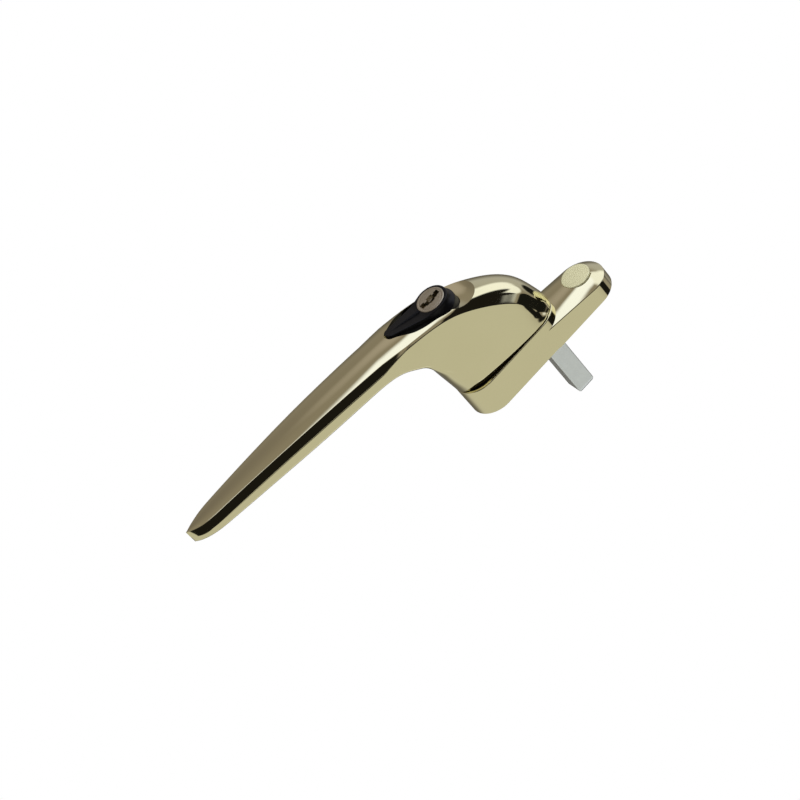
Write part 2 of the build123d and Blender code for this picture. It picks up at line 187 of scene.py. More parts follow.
def cubic(knots, where, start):
    """Cubic through rows of knots by the length along their first two columns, from a given slope."""
    knots = np.asarray(knots, float)
    span = np.linalg.norm(np.diff(knots[:, :2], axis=0), axis=1)
    at = np.concatenate([[0], np.cumsum(span)])
    n = len(knots)
    system, right = np.zeros((n, n)), np.zeros_like(knots)
    for i in range(1, n - 1):
        a, b = span[i - 1], span[i]
        system[i, i - 1:i + 2] = b, 2 * (a + b), a
        right[i] = 3 * (b * (knots[i] - knots[i - 1]) / a + a * (knots[i + 1] - knots[i]) / b)
    system[0, 0] = 1
    right[0] = start
    system[-1, -2:] = 1, 2
    right[-1] = 3 * (knots[-1] - knots[-2]) / span[-1]
    slope = np.linalg.solve(system, right)
    s = np.asarray(where) * at[-1]
    i = np.clip(np.searchsorted(at, s, side="right") - 1, 0, n - 2)
    h = span[i][:, None]
    u = ((s - at[i]) / span[i])[:, None]
    return ((2 * u**3 - 3 * u**2 + 1) * knots[i] + (u**3 - 2 * u**2 + u) * h * slope[i]
            + (3 * u**2 - 2 * u**3) * knots[i + 1] + (u**3 - u**2) * h * slope[i + 1])


# ---------------------------------------------------------------- lever
FACET = (1.4, 2.8)              # bevel along the grip: across, and towards the wall
NECK_FACET = (0.6, 1.05)        # the same along the neck
LEAST_FACET = (0.02, 0.05)      # what there is of it everywhere
FACET_FADE = 1.5                # half width of the grip below which the bevel narrows with it
KINK = (37.0, 47.5)             # drops between which the narrow bevel opens to the wide one
ROOT_FACET = 2.2                # how much wider the neck's bevel is at the root
ROOT_FACET_DROPS = (-8, 22)     # drops over which it comes down to the neck's
FACET_BEGINS = (-4, 5)          # heights from the root over which the bevel grows out of the turret
RISE_FADE = 4.0                 # half width of the grip below which its crown flattens
OGIVE_START = 118.0             # drop where the grip begins to close to its tip
OGIVE_FORM = (3, 0.7)           # powers that give the tip its pointed curve
WRAP = 41.4                     # how far the side wraps round the turret, in degrees
WRAP_TOP = 36.0                 # height where the wrap has faded out
WRAP_DROP = 10.0                # drop beyond which there is none
EDGE = 0.28                     # rounding of the bevel's edges
UNDERCUT = 0.55                 # slope of the undercut along the lever's lower edge
UNDERCUT_SOFT = 0.02            # how softly the undercut runs out into the side, in square mm
CREASE = (13.3, 0.0217, 0.00305)    # height of the undercut's top, as a curve of the drop
CREASE_START = (-6.03, 4.0)     # drop where it leaves the seam, and the length over which it opens
CREASE_END = (27.0, 7.6)        # drop where it turns back, and the length over which it closes
SEAM_SHOWS = 0.05               # height of the crease over the root where it is shut
BLEND_TOP = 24.0                # height above which rows are plain sections
BLEND_ROWS = 22
FINE = 1400                     # sections worked out before rows are chosen
FINE_LOW = 400                  # those of them that pass through the turret
ROW_STEP = (0.9, 0.1)           # distance between rows along the grip, and at the very tip
TIP_ROWS = (OGIVE_START + 6, 8) # drop where the rows begin to close up, and over what length

# points kept out of even steps along the side and the crown, closer together beside the bevel
EVEN = 60
SIDE_PICK = [0, 4, 9, 15, 22, 30, 38, 45, 51, 56, 58, 59]
CROWN_PICK = [0, 1, 2, 4, *range(6, EVEN + 1, 3)]

# crown drop and height, back drop and height, half width, crown's rise, back corner's radius
LEVER_KNOTS = (
    (-9.1, 12.75, 34.6, 12.75, 9.1, 3.07, 8.9),
    (-7.9, 20.0, 35.3, 19.6, 9.1, 3.1, 6.6),
    (-5.4, 27.8, 36.0, 26.4, 9.1, 4.0, 4.2),
    (-1.4, 33.5, 36.8, 31.0, 9.1, 4.9, 2.2),
    (4.4, 38.6, 38.1, 35.2, 9.1, 5.2, 1.5),
    (15.0, 45.0, 41.2, 38.8, 9.1, 4.6, 1.2),
    (30.0, 49.4, 45.4, 41.9, 9.05, 3.3, 1.0),
    (46.0, 51.8, 52.2, 44.0, 8.95, 1.9, 1.0),
    (61.0, 53.2, 63.0, 45.0, 8.55, 1.3, 1.0),
    (80.0, 54.7, 81.0, 46.5, 7.85, 1.1, 1.0),
    (97.0, 55.6, 97.5, 48.0, 6.85, 0.9, 0.9),
    (115.0, 56.2, 115.2, 49.6, 5.65, 0.75, 0.8),
    (REACH, 56.4, REACH, 51.1, 4.4, 0.6, 0.7),
)
FIRST_SLOPE = (0.0, 1.0, 0.06, 1.0, 0.0, 0.0, -0.33)    # how each of these starts, per mm


def ease(x, low, high):
    t = np.clip((x - low) / (high - low), 0, 1)
    return t * t * (3 - 2 * t)


def rounded(before, corner, after, size, steps=4):
    """Points that turn a corner smoothly, from one side to the other."""
    a, b = before - corner, after - corner
    reach = min(size, 0.35 * np.linalg.norm(a), 0.35 * np.linalg.norm(b))
    start, end = corner + a / np.linalg.norm(a) * reach, corner + b / np.linalg.norm(b) * reach
    t = np.linspace(0, 1, steps + 1)[:, None]
    return (1 - t) ** 2 * start + 2 * t * (1 - t) * corner + t**2 * end


def half_section(knot):
    """Right half of the lever's section, from its back to its ridge, in (x, distance from the back)."""
    crown_drop, crown_height, back_drop, back_height, half, rise, corner = knot
    deep = hypot(crown_drop - back_drop, crown_height - back_height)
    past = np.clip((crown_drop - OGIVE_START) / (REACH + 0.1 - OGIVE_START), 0, 1)
    half = half * max(1 - past ** OGIVE_FORM[0], 1e-4) ** OGIVE_FORM[1]
    corner = min(corner, half - 0.02)
    narrow = 1 - exp(-half / FACET_FADE)
    opened = np.clip((crown_drop - KINK[0]) / (KINK[1] - KINK[0]), 0, 1)
    begun = 1.0
    if crown_drop < 0:
        begun = ease(crown_height, ROOT + FACET_BEGINS[0], ROOT + FACET_BEGINS[1])
    begun *= 1 + ROOT_FACET * (1 - ease(crown_drop, *ROOT_FACET_DROPS))
    across, down = (begun * neck + opened * (grip - neck) + least
                    for neck, grip, least in zip(NECK_FACET, FACET, LEAST_FACET))
    across *= narrow
    rise = rise * min(1, half / RISE_FADE)
    wrap = 0.0
    if crown_drop < WRAP_DROP:
        wrap = radians(WRAP) * (1 - ease(crown_height, ROOT, WRAP_TOP))

    shoulder = np.array([half - HALF * (1 - cos(wrap)), deep - rise - down])
    top = np.array([shoulder[0] - across, deep - rise])
    side_top = shoulder[1] - HALF * sin(wrap)
    turn = np.linspace(-pi / 2, 0, 10)
    back = [(0.0, 0.0), (half - corner, 0.0)]
    heel = [(half - corner + corner * cos(a), corner + corner * sin(a)) for a in turn]
    side = [(half, corner), (half, side_top)]
    if wrap > 0.01:
        side += [(half - HALF * (1 - cos(a)), side_top + HALF * sin(a))
                 for a in np.linspace(0, wrap, 12)[1:]]
    chord = top[0]
    radius = (chord**2 + rise**2) / (2 * rise)
    reach = np.arcsin(min(1, chord / radius))
    crown = [(radius * sin(a), deep - radius * (1 - cos(a))) for a in np.linspace(reach, 0, 22)]

    low_turn = rounded(shoulder + (sin(wrap), -cos(wrap)), shoulder, top, EDGE)
    high_turn = rounded(shoulder, top, np.array(crown[1]), EDGE)
    side[-1] = tuple(low_turn[0])
    crown[0] = tuple(high_turn[-1])
    parts = [resample(back, 3, False), resample(heel, 10, False), resample(side, EVEN)[SIDE_PICK]]
    parts += [low_turn[:-1], resample([low_turn[-1], high_turn[0]], 4, False), high_turn[:-1]]
    parts.append(resample(crown, EVEN)[CROWN_PICK])
    return np.vstack(parts)


def lever_sections():
    """Fine grid of whole sections: section, point round it, then (x, height, drop)."""
    knots = cubic(LEVER_KNOTS, np.linspace(0, 1, FINE), FIRST_SLOPE)
    grid = []
    for knot in knots:
        back, crown = knot[[2, 3]], knot[[0, 1]]
        along = (crown - back) / np.linalg.norm(crown - back)
        half = half_section(knot)
        drop_height = back + half[:, 1:2] * along
        right = np.column_stack([half[:, 0], drop_height[:, 1], drop_height[:, 0]])
        left = right[-2:0:-1] * (-1, 1, 1)
        grid.append(np.vstack([right, left]))
    return np.array(grid)


def crease_height(drop):
    """Top of the undercut along the lever's lower edge: it opens towards the lower end and closes there."""
    shut = ROOT + SEAM_SHOWS
    rising = CREASE[0] + CREASE[1] * drop + CREASE[2] * drop**2
    start = np.clip((drop - CREASE_START[0]) / CREASE_START[1], 0, 1)
    end = np.clip((drop - CREASE_END[0]) / CREASE_END[1], 0, 1)
    return shut + (rising - shut) * start * (1 - end**2)


def make_lever():
    """Level rows through the turret, easing over into plain sections along the neck and grip."""
    grid = lever_sections()
    heights = grid[:, :, 1]
    crown = len(grid[0]) // 2
    rows = []
    # parts of the way up to the crease, closer together beside it
    nominal = np.concatenate([np.linspace(0, 0.75, 6), [0.86, 0.93, 0.97, 1.0, 1.03, 1.08, 1.2]])

    def at_height(wanted):
        return np.array([[np.interp(wanted[j], heights[:FINE_LOW, j], grid[:FINE_LOW, j, k])
                          for k in range(3)] for j in range(grid.shape[1])])

    foot = grid[0]
    crease = crease_height(foot[:, 2])
    tangent = np.roll(foot, -1, axis=0) - np.roll(foot, 1, axis=0)
    outward = np.column_stack([tangent[:, 2], np.zeros(len(foot)), -tangent[:, 0]])
    outward /= np.linalg.norm(outward, axis=1)[:, None]
    widest = np.argmax(foot[:, 0])
    outward *= np.sign(outward[widest, 0])
    for t in nominal:
        wanted = ROOT + t * (crease - ROOT)
        below = crease - wanted
        inset = UNDERCUT * (below + np.sqrt(below**2 + UNDERCUT_SOFT)) / 2
        row = at_height(wanted)
        rows.append(row - outward * inset[:, None])
    plain = np.argmax(heights[:, crown] > BLEND_TOP)
    last_nominal = crease + (nominal[-1] - 1) * (crease - ROOT)
    for t in np.linspace(0, 1, BLEND_ROWS)[1:-1]:
        rows.append(at_height(last_nominal + t * (heights[plain] - last_nominal)))
    chosen = [plain]
    for i in range(plain + 1, FINE):
        step = np.linalg.norm(grid[i, crown, 1:] - grid[chosen[-1], crown, 1:])
        closing = np.clip((grid[i, crown, 2] - TIP_ROWS[0]) / TIP_ROWS[1], 0, 1)
        if step > ROW_STEP[0] + (ROW_STEP[1] - ROW_STEP[0]) * closing or i == FINE - 1:
            chosen.append(i)
    rows += [grid[i] for i in chosen]
    return new_object("lever_shell", *bridge(rows))


# Hollows of the lever, as in the frame's model
BOSS = (6.2, 1.3)               # radius and rear end of the boss that turns in the base
CLIP_GROOVE = (5.6, 2.35, 3.35)     # radius at its bottom, then its two sides
SPINDLE_SOCKET = (7.06, 24.2)   # side and depth
BORE = (6.35, 18.9)             # radius and lower end of the bore for the lock body
BOLT_ROOM = (4.65, 17.5)        # radius and depth of the room round the bolt's head
SHANK_R = 2.95                  # hole for the bolt's shank
SLUG_ROOM = (3.6, 3.0, 29.9, 39.5)  # width, height, and its lower and upper ends
SCOOP_R = 16.0
SCOOP_LOW = 40.6                # height of the scoop's deepest point
SCOOP_DROP = 9.5
SCOOP_WIDE = 1.65               # how much flatter the scoop is across the lever

# Button: a teardrop whose wall spreads as it goes down into the lever
HEAD_R = 6.2
TAIL_R = 2.3
TAIL_DROP = 38.4                # drop of the tail's round end
BUTTON_TRAVEL = 3.6
# how far the wall has spread at each depth below the button's top
FLARE = ((0.45, 0.0), (0.9, 0.05), (1.4, 0.15), (1.9, 0.32), (2.4, 0.56), (2.8, 0.82), (3.1, 1.05),
         (3.35, 1.22), (3.6, 1.3))
TOP_EDGE, WIDEST = FLARE[0][0], FLARE[-1][1]
HEAD_FLARE = 0.9                # parts of that spread at the head, beside the tail and at its end
SIDE_FLARE = 2.0
TAIL_FLARE = 0.12
SIDE_DROPS = (21.0, 31.0, 32.0)     # drops where the spread beside the tail begins, is whole, and goes
HEAD_WALL_R = HEAD_R + HEAD_FLARE * WIDEST
TOP_FLAT = 48.4                 # height of the button's top round the plug, and at the tail's end
TOP_TAIL = 52.1
FLAT_END = 27.2                 # drop where the flat ends
BEND_SOFT = 0.6                 # how softly it bends there, in square mm
FOOT_HEAD = 41.6                # height of the button's underside at the head, and under the tail
FOOT_TAIL = 46.4
BODY_ROOM = (6.17, 45.2)        # room in the button for the lock body: radius and top
POCKET_GAP = 0.22               # clearance round the button
POCKET_UNDER = 0.4              # clearance under it when it is in
DISC_GAP = 0.07                 # clearance round the plug's disc
ARC = 30                        # steps along each part of the teardrop


def teardrop(head, tail):
    """Round about the key plug and tapering down the grip, in (x, drop), from the upper end round."""
    lock_drop = -LOCK_Z
    lean = np.arcsin((head - tail) / (TAIL_DROP - lock_drop))
    half = [(head * sin(a), lock_drop - head * cos(a)) for a in np.linspace(0, pi / 2 + lean, 2 * ARC)]
    start = np.array(half[-1])
    end = np.array((tail * cos(lean), TAIL_DROP + tail * sin(lean)))
    half += [tuple(start + (end - start) * t) for t in np.linspace(0, 1, ARC)[1:]]
    half += [(tail * sin(a), TAIL_DROP - tail * cos(a))
             for a in np.linspace(pi / 2 + lean, pi, ARC // 2)[1:]]
    return half + [(-x, drop) for x, drop in reversed(half[1:-1])]


def button_top(drop):
    """The flat round the plug, then a straight climb to the tail, with a soft bend between."""
    slope = (TOP_TAIL - TOP_FLAT) / (TAIL_DROP + TAIL_R - FLAT_END)
    past = drop - FLAT_END
    return TOP_FLAT + slope * (past + sqrt(past**2 + BEND_SOFT)) / 2


def flared(spread, gap=0.0):
    """The button's outline where its wall has spread, most of all beside the tail."""
    begins, whole, goes = SIDE_DROPS
    ring = []
    for (x, drop), (out_x, out_drop) in zip(teardrop(HEAD_R, TAIL_R), teardrop(HEAD_R + 1, TAIL_R + 1)):
        part = (HEAD_FLARE + (SIDE_FLARE - HEAD_FLARE) * ease(drop, begins, whole)
                - (SIDE_FLARE - TAIL_FLARE) * ease(drop, goes, TAIL_DROP + TAIL_R))
        reach = spread * part + gap
        ring.append((x + (out_x - x) * reach, drop + (out_drop - drop) * reach))
    return ring


def make_button():
    """Flared wall, rounded edge and bent top; the underside is deep only round the lock body."""
    rows = [[(x, FOOT_HEAD, drop) for x, drop in flared(WIDEST)]]
    for depth, spread in reversed(FLARE):
        rows.append([(x, button_top(drop) - depth, drop) for x, drop in flared(spread)])
    for turn in np.linspace(0, pi / 2, 6)[1:]:
        inset = TOP_EDGE * (1 - cos(turn))
        ring = teardrop(HEAD_R - inset, TAIL_R - inset)
        rows.append([(x, button_top(drop) - TOP_EDGE * (1 - sin(turn)), drop) for x, drop in ring])
    for part in np.linspace(0.95, 0.04, 16):
        ring = teardrop((HEAD_R - TOP_EDGE) * part, (TAIL_R - TOP_EDGE) * part)
        rows.append([(x, button_top(drop), drop) for x, drop in ring])
    button = new_object("thumb_button", *bridge(rows))
    under_tail = box(4 * HALF, REACH, 0, FOOT_TAIL, LOCK_Z)
    combine(under_tail, rod(HEAD_WALL_R + POCKET_GAP / 2, -1, ABOVE, LOCK_Z))
    combine(button, under_tail)
    combine(button, rod(PLUG_R + DISC_GAP, 0, ABOVE, LOCK_Z))
    combine(button, rod(BODY_ROOM[0], 0, BODY_ROOM[1], LOCK_Z))
    return button


def hollow_lever(lever):
    """Cuts the scoop, pocket, bore and socket, and adds the boss behind."""
    arc = np.linspace(-pi / 2, pi / 2, SIDES // 2)
    outline = [(SCOOP_R * cos(a), SCOOP_LOW + SCOOP_R * (1 + sin(a))) for a in arc]
    scoop = turned("scoop", outline, -SCOOP_DROP)
    for vertex in scoop.data.vertices:
        vertex.co.x *= SCOOP_WIDE
    combine(lever, scoop)
    combine(lever, rod(BOSS[0], BOSS[1], ROOT + 1), "UNION")
    groove = rod(BOSS[0] + 1, *CLIP_GROOVE[1:])
    combine(groove, rod(CLIP_GROOVE[0], 0, ABOVE))
    combine(lever, groove)
    combine(lever, box(SPINDLE_SOCKET[0], SPINDLE_SOCKET[0], 0, SPINDLE_SOCKET[1]))
    room = BUTTON_TRAVEL + POCKET_UNDER
    pocket = prism(flared(WIDEST, POCKET_GAP), FOOT_TAIL - room, ABOVE + 1)
    combine(pocket, rod(HEAD_WALL_R + POCKET_GAP, FOOT_HEAD - room, ABOVE, LOCK_Z), "UNION")
    combine(lever, pocket)
    combine(lever, rod(*BORE, ABOVE, LOCK_Z))
    combine(lever, rod(SHANK_R, 0, BORE[1] + 1, LOCK_Z))
    combine(lever, rod(BOLT_ROOM[0], 0, BOLT_ROOM[1], LOCK_Z))
    combine(lever, box(*SLUG_ROOM, LOCK_Z - BORE[0]))
    return lever


# ---------------------------------------------------------------- base
RIDGE = (10.6, -0.055)          # height of the low part's ridge beside the spindle, and its fall per mm
CROWN_FALL = (1.3, 0.078)       # how far its sides lie below the ridge, and the growth per mm
CROWN_POWER = 2.2               # how late across the base they fall
SEAM_EDGE = 0.3                 # rounding of the raised part's upper edge
BACK_EDGE = 0.3                 # bevel along its back
LOW_EDGE = 0.22                 # rounding of the low part's edge, and how far it falls besides
LOW_EDGE_FALL = 0.1
SCREW_Z = 21.5                  # distance of the fixing holes from the spindle
SCREW_HOLE_R = 2.65
SCREW_SEAT = (5.0, 3.8)         # radius and floor of the screw head's room
CAP_RECESS = (5.42, 0.5)        # shallow recess about the cap: radius, depth
BUSH_BORE = 7.12                # radius
FLANGE_BORE = (8.12, 11.6)      # radius and floor of the room for the bush's flange
REAR_POCKET = (8.0, 4.9)        # radius and depth
BACK_POCKETS = ((12.9, 6.0), (-12.9, 9.5))      # place up the wall, and depth
BACK_POCKET_R = 3.1             # radius of their ends, and how far each end is moved outwards


def ridge(z):
    return RIDGE[0] + RIDGE[1] * z


def low_surface(z, part):
    """Height of the low part at a distance up the wall, and a part of the way from middle to edge."""
    return ridge(z) - (CROWN_FALL[0] + CROWN_FALL[1] * max(z, 0)) * part ** CROWN_POWER


def make_low_part():
    """Rows from the middle line out over the edge and down to the wall, all the way round."""
    climb = np.linspace(0, UPPER_END, 34)
    stations = [(z, 1.0, 0.0) for z in climb]
    stations += [(UPPER_END, cos(a), sin(a)) for a in np.linspace(0, pi, 49)[1:-1]]
    stations += [(z, -1.0, 0.0) for z in climb[::-1]]
    rows = []
    inner = HALF - LOW_EDGE
    for z, across, up in stations:
        row = []
        for part in np.linspace(0, 1, 20):
            r = part * inner
            row.append((r * across, low_surface(z + r * up, r / HALF), -(z + r * up)))
        top = row[-1][1]
        for turn in np.linspace(0, pi / 2, 5)[1:]:
            r = inner + LOW_EDGE * sin(turn)
            fall = LOW_EDGE * (1 - cos(turn)) + LOW_EDGE_FALL * sin(turn)
            row.append((r * across, top - fall, -(z + r * up)))
        for height in np.linspace(row[-1][1], 0, 6)[1:]:
            row.append((HALF * across, height, -(z + HALF * up)))
        row.append((0.0, 0.0, -z))
        rows.append(row)
    count = len(rows[0])
    vertices = [point for row in rows for point in row]
    faces = []
    for r in range(len(rows) - 1):
        for i in range(count - 1):
            here, there = r * count + i, (r + 1) * count + i
            faces.append((here, here + 1, there + 1, there))
    last = (len(rows) - 1) * count
    faces.append(tuple(range(count)) + tuple(last + i for i in reversed(range(1, count - 1))))
    part = new_object("low_part", vertices, faces)
    clean(part.data)
    return part


def racetrack(radius, z_low, z_high):
    """Outline in (x, drop) with round ends."""
    upper = [(radius * cos(a), -z_high - radius * sin(a)) for a in np.linspace(0, pi, SIDES // 2)]
    lower = [(radius * cos(a), -z_low - radius * sin(a)) for a in np.linspace(pi, 2 * pi, SIDES // 2)]
    left = [(-radius, -z_high + (z_high - z_low) * t) for t in np.linspace(0, 1, 14)[1:-1]]
    right = [(radius, -z_low - (z_high - z_low) * t) for t in np.linspace(0, 1, 14)[1:-1]]
    return upper + left + lower + right


def make_raised_part():
    rows = []
    levels = [(BACK_EDGE, 0.0), (0.0, BACK_EDGE)]
    levels += [(0.0, height) for height in np.linspace(2, SEAM - SEAM_EDGE, 8)]
    levels += [(SEAM_EDGE * (1 - cos(a)), SEAM - SEAM_EDGE * (1 - sin(a)))
               for a in np.linspace(0, pi / 2, 6)[1:]]
    for inset, height in levels:
        rows.append([(x, height, drop) for x, drop in racetrack(HALF - inset, LOWER_END, 0)])
    return new_object("raised_part", *bridge(rows))


def make_base():
    base = make_raised_part()
    combine(base, make_low_part(), "UNION")
    for z in (SCREW_Z, -SCREW_Z):
        combine(base, rod(*SCREW_SEAT, ABOVE, z))
        combine(base, rod(SCREW_HOLE_R, -1, ABOVE, z))
    recess = turned("recess", [(CAP_RECESS[0], 0), (CAP_RECESS[0], ABOVE)], SCREW_Z)
    for vertex in recess.data.vertices:
        if vertex.co.y > -1:
            vertex.co.y = CAP_RECESS[1] - low_surface(vertex.co.z, abs(vertex.co.x) / HALF)
    combine(base, recess)
    combine(base, rod(BUSH_BORE, -1, ABOVE))
    combine(base, rod(*FLANGE_BORE, ABOVE))
    combine(base, rod(REAR_POCKET[0], -1, REAR_POCKET[1]))
    for z, deep in BACK_POCKETS:
        outline = [(x + (BACK_POCKET_R if x > 0 else -BACK_POCKET_R), drop - z)
                   for x, drop in racetrack(BACK_POCKET_R, 0, 0)]
        combine(base, prism(outline, -1, deep))
    return base


CAP_FACE_R = 5.28
CAP_PROUD = 0.3                 # how far the cap's middle stands over the base's ridge
CAP_DOME = 0.3                  # how far it is domed
CAP_EDGE = 0.3                  # rounding of its rim
CAP_THICK = 0.6                 # from the rim down to where the stem begins
CAP_STEM = (CAP_R - 0.03, 5.0)  # radius and lower end


def make_cap():
    """Slightly domed push-in cap, following the fall of the base."""
    rim = ridge(SCREW_Z) + CAP_PROUD - CAP_DOME
    under = rim - CAP_THICK
    outline = [CAP_STEM, (CAP_STEM[0], under), (CAP_FACE_R, under)]
    outline += [(CAP_FACE_R - CAP_EDGE * (1 - cos(a)), rim - CAP_EDGE * (1 - sin(a)))
                for a in np.linspace(0, pi / 2, 7)]
    flat = CAP_FACE_R - CAP_EDGE
    outline += [(r, rim + CAP_DOME * (1 - (r / flat) ** 2)) for r in np.linspace(flat, 0.0, 14)[1:]]
    cap = turned("cover_cap", outline, CAP_Z)
    for vertex in cap.data.vertices:
        if -vertex.co.y > under - 0.1:
            vertex.co.y -= RIDGE[1] * (vertex.co.z - CAP_Z)
    return cap


PLUG_END = 33.4                 # height of the plug's inner end
PLUG_STEM_R = 4.0
DISC_UNDER = 45.25              # height of the disc's underside
DISC_EDGE = 0.3
# turned groove round the disc's face: distance from its rim, and depth
DISC_GROOVE = ((0.75, 0.0), (0.85, 0.06), (1.05, 0.06), (1.15, 0.0))
KEYWAY_END = 35.4               # height of the keyway's floor
SHALLOW = 47.7                  # height of the floor of its shallow recess
# zig-zag keyway: place across and up from the plug's middle, then width, height and floor
KEYWAY = ((-0.1, 3.15, 2.2, 1.6, KEYWAY_END), (0.25, 1.7, 2.0, 1.7, KEYWAY_END),
          (0.75, 0.2, 2.0, 2.0, KEYWAY_END), (0.4, -1.5, 2.0, 1.6, KEYWAY_END),
          (-0.2, -3.0, 2.3, 1.7, KEYWAY_END), (-0.75, 0.3, 1.5, 2.4, SHALLOW))


def make_plug():
    outline = [(0.0, PLUG_END), (PLUG_STEM_R, PLUG_END), (PLUG_STEM_R, DISC_UNDER), (PLUG_R, DISC_UNDER)]
    outline += [(PLUG_R - DISC_EDGE * (1 - cos(a)), PLUG_TOP - DISC_EDGE * (1 - sin(a)))
                for a in np.linspace(0, pi / 2, 5)]
    outline += [(PLUG_R - inward, PLUG_TOP - deep) for inward, deep in DISC_GROOVE]
    outline += [(r, PLUG_TOP) for r in np.linspace(PLUG_R - 1.5, 0.0, 6)]
    plug = turned("key_disc", outline, LOCK_Z)
    for x, z, wide, tall, floor in KEYWAY:
        combine(plug, box(wide, tall, floor, ABOVE, LOCK_Z + z, x))
    return plug


# ---------------------------------------------------------------- materials
def material(name, colour, metallic, roughness):
    """A new material; gives its nodes, links and shader."""
    mat = bpy.data.materials.new(name)
    mat.use_nodes = True
    tree = mat.node_tree
    shader = tree.nodes["Principled BSDF"]
    shader.inputs["Base Color"].default_value = (*colour, 1)
    shader.inputs["Metallic"].default_value = metallic
    shader.inputs["Roughness"].default_value = roughness
    return mat, tree, shader


def add(tree, kind, **settings):
    node = tree.nodes.new(kind)
    for key, value in settings.items():
        setattr(node, key, value)
    return node


def noise(tree, scale, detail, stretch=None):
    """Noise in object coordinates; the scale is in features per metre."""
    place = add(tree, "ShaderNodeTexCoord")
    source = place.outputs["Object"]
    if stretch:
        mapping = add(tree, "ShaderNodeMapping")
        mapping.inputs["Scale"].default_value = stretch
        tree.links.new(source, mapping.inputs["Vector"])
        source = mapping.outputs["Vector"]
    node = add(tree, "ShaderNodeTexNoise")
    node.inputs["Scale"].default_value = scale
    node.inputs["Detail"].default_value = detail
    tree.links.new(source, node.inputs["Vector"])
    return node.outputs["Fac"]


def remap(tree, value, low, high, out_low, out_high):
    node = add(tree, "ShaderNodeMapRange")
    settings = {"From Min": low, "From Max": high, "To Min": out_low, "To Max": out_high}
    for name, number in settings.items():
        node.inputs[name].default_value = number
    tree.links.new(value, node.inputs["Value"])
    return node.outputs["Result"]


def two_colours(tree, factor, first, second):
    node = add(tree, "ShaderNodeMix", data_type="RGBA")
    node.inputs[6].default_value = (*first, 1)
    node.inputs[7].default_value = (*second, 1)
    tree.links.new(factor, node.inputs[0])
    return node.outputs[2]


def vary(tree, shader, pattern, first, second, grain, smooth, rough, grain_top=0.7):
    """Spreads two colours by a pattern, and the roughness by a grain."""
    tree.links.new(two_colours(tree, pattern, first, second), shader.inputs["Base Color"])
    tree.links.new(remap(tree, grain, 0.3, grain_top, smooth, rough), shader.inputs["Roughness"])


def bump(tree, shader, height, strength, distance):
    """Fine relief; the distance is in metres."""
    node = add(tree, "ShaderNodeBump")
    node.inputs["Strength"].default_value = strength
    node.inputs["Distance"].default_value = distance
    tree.links.new(height, node.inputs["Height"])
    tree.links.new(node.outputs["Normal"], shader.inputs["Normal"])


def polished_gold():
    """Mirror polish with a faint wave, a little hazier in places."""
    mat, tree, shader = material("polished_gold", (0.74, 0.68, 0.42), 1.0, 0.06)
    vary(tree, shader, noise(tree, 45, 3), (0.80, 0.74, 0.46), (0.75, 0.69, 0.42),
         noise(tree, 120, 4), 0.04, 0.09, grain_top=0.75)
    bump(tree, shader, noise(tree, 500, 3), 0.02, 0.00005)
    return mat


def cap_gold():
    """Metallised plastic, softer and yellower than the castings."""
    mat, tree, shader = material("cap_gold", (0.95, 0.92, 0.55), 0.2, 0.3)
    shader.inputs["Specular IOR Level"].default_value = 0.35
    vary(tree, shader, noise(tree, 200, 3), (0.98, 0.95, 0.57), (0.92, 0.89, 0.52),
         noise(tree, 300, 3), 0.24, 0.3)
    bump(tree, shader, noise(tree, 800, 2), 0.02, 0.00003)
    return mat


def black_plastic():
    """Satin black with a fine moulded grain."""
    mat, tree, shader = material("black_plastic", (0.006, 0.007, 0.009), 0.0, 0.34)
    shader.inputs["Specular IOR Level"].default_value = 0.24
    vary(tree, shader, noise(tree, 600, 3), (0.002, 0.002, 0.002), (0.005, 0.005, 0.005),
         noise(tree, 1500, 4), 0.30, 0.42)
    bump(tree, shader, noise(tree, 5000, 3), 0.12, 0.00003)
    return mat


def nickel_brass():
    """Turned face of the key plug: fine rings about its axis."""
    mat, tree, shader = material("nickel_brass", (0.7, 0.66, 0.54), 1.0, 0.3)
    place = add(tree, "ShaderNodeTexCoord")
    shift = add(tree, "ShaderNodeMapping")
    shift.inputs["Location"].default_value = (0, 0, -LOCK_Z * MM)
    tree.links.new(place.outputs["Object"], shift.inputs["Vector"])
    rings = add(tree, "ShaderNodeTexWave", wave_type="RINGS", rings_direction="Y")
    rings.inputs["Scale"].default_value = 900
    rings.inputs["Distortion"].default_value = 1.5
    rings.inputs["Detail"].default_value = 2
    tree.links.new(shift.outputs["Vector"], rings.inputs["Vector"])
    vary(tree, shader, rings.outputs["Fac"], (0.72, 0.67, 0.52), (0.60, 0.54, 0.40),
         noise(tree, 1200, 4), 0.24, 0.42)
    bump(tree, shader, rings.outputs["Fac"], 0.25, 0.00003)
    return mat


def zinc_plate():
    """Bright plating over steel drawn along the spindle."""
    mat, tree, shader = material("zinc_plate", (0.66, 0.69, 0.68), 0.9, 0.42)
    drawn = noise(tree, 500, 3, (1, 0.06, 1))
    vary(tree, shader, drawn, (0.79, 0.84, 0.82), (0.88, 0.92, 0.90), noise(tree, 300, 3), 0.27, 0.35)
    bump(tree, shader, drawn, 0.04, 0.00003)
    return mat


def spring_steel():
    mat, tree, shader = material("spring_steel", (0.4, 0.41, 0.43), 1.0, 0.35)
    vary(tree, shader, noise(tree, 800, 3), (0.36, 0.37, 0.39), (0.46, 0.47, 0.49),
         noise(tree, 1500, 3), 0.28, 0.42)
    return mat


def nylon():
    mat, tree, shader = material("nylon", (0.84, 0.83, 0.78), 0.0, 0.45)
    shader.inputs["Subsurface Weight"].default_value = 0.1
    vary(tree, shader, noise(tree, 200, 3), (0.86, 0.85, 0.80), (0.80, 0.79, 0.73),
         noise(tree, 900, 3), 0.4, 0.52)
    bump(tree, shader, noise(tree, 3000, 3), 0.1, 0.00004)
    return mat


